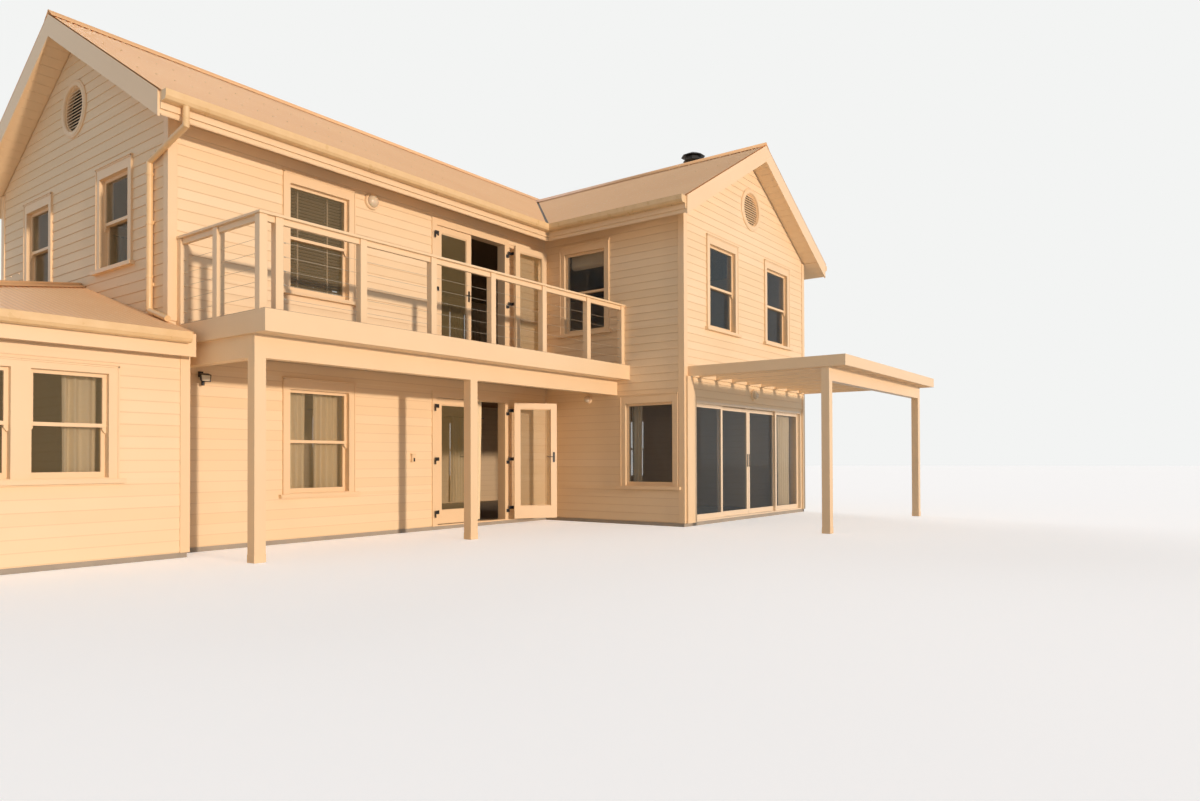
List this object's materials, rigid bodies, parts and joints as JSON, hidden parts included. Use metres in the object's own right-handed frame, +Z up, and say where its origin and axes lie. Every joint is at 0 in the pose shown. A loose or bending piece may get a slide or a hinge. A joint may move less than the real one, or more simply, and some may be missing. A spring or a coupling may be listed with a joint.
{
  "type": "beach house",
  "caption": "Two-storey timber-clad house with a long gabled wing, a forward gabled cross wing, a low hipped wing, a balcony over a terrace and an open pergola.",
  "frame": {"origin": "on the ground under the middle of the whole house, its gutters and pergola included", "axes": "+X along the long front towards the cross wing, +Y from the front into the house, +Z up"},
  "size_m": [16.19, 11.62, 7.4],
  "materials": {
    "clapboard": "cream painted weatherboards",
    "trim": "satin off-white paint",
    "concrete": "trowelled concrete",
    "floor_timber": "oiled boards",
    "deck_timber": "painted rim, weathered boards",
    "roof_sheet": "corrugated, matt",
    "gutter_metal": "satin cream",
    "glass": "clear",
    "ironwork": "black satin",
    "flue_steel": "weathered",
    "lamp": "satin"
  },
  "bodies": {
    "house": {"balcony_beams": "trim", "balcony_deck": "deck_timber", "balcony_posts": "trim", "balcony_railing": "trim", "bargeboards": "trim", "corner_pilaster": "trim", "cross_front_piers": "clapboard", "cross_gable_wall": "clapboard", "cross_glass": "glass", "cross_right_wall": "clapboard", "cross_roof_left": "roof_sheet", "cross_roof_right": "roof_sheet", "cross_side_wall": "clapboard", "cross_window_frames": "trim", "fascias": "trim", "flue_cowl": "ironwork", "french_door_frame": "trim", "french_door_hinges": "ironwork", "front_wall_left": "clapboard", "front_wall_middle": "clapboard", "front_wall_right": "clapboard", "gable_vents": "trim", "ground_slab": "concrete", "gutters": "gutter_metal", "left_gable_wall": "clapboard", "low_front_wall": "clapboard", "low_left_wall": "clapboard", "low_rear_wall": "clapboard", "low_roof": "roof_sheet", "low_window_frame": "trim", "main_glass": "glass", "main_roof_front": "roof_sheet", "main_roof_rear": "roof_sheet", "main_window_frames": "trim", "pergola_frame": "trim", "pergola_posts": "trim", "pergola_rafters": "trim", "rear_wall": "clapboard", "right_gable_wall": "clapboard", "roof_flue": "flue_steel", "sliding_door_fixed": "trim", "sliding_door_frame": "trim", "upper_ceiling": "trim", "upper_door_ironwork": "ironwork", "upper_floor": "floor_timber", "upper_french_doors": "trim", "wall_lamps": "lamp"},
    "door_leaf_left": {"french_door_left": "trim", "french_door_left_glass": "glass", "french_door_left_ironwork": "ironwork"},
    "door_leaf_right": {"french_door_right": "trim", "french_door_right_glass": "glass", "french_door_right_ironwork": "ironwork"},
    "sliding_leaf_left": {"sliding_door_left": "trim", "sliding_door_left_glass": "glass"},
    "sliding_leaf_right": {"sliding_door_right": "trim", "sliding_door_right_glass": "glass"}
  },
  "joints": [
    {"name": "left_leaf_hinge", "type": "hinge", "parent": "house", "child": "door_leaf_left", "pos_m": [-0.25, -0.18, 0.06], "axis": [0, 0, -1], "range_deg": [0, 175]},
    {"name": "right_leaf_hinge", "type": "hinge", "parent": "house", "child": "door_leaf_right", "pos_m": [1.46, -0.18, 0.06], "axis": [0, 0, 1], "range_deg": [-147, 28]},
    {"name": "left_panel_slide", "type": "slide", "parent": "house", "child": "sliding_leaf_left", "axis": [-1, 0, 0], "range_m": [0, 1.04]},
    {"name": "right_panel_slide", "type": "slide", "parent": "house", "child": "sliding_leaf_right", "axis": [1, 0, 0], "range_m": [0, 1.04]}
  ]
}
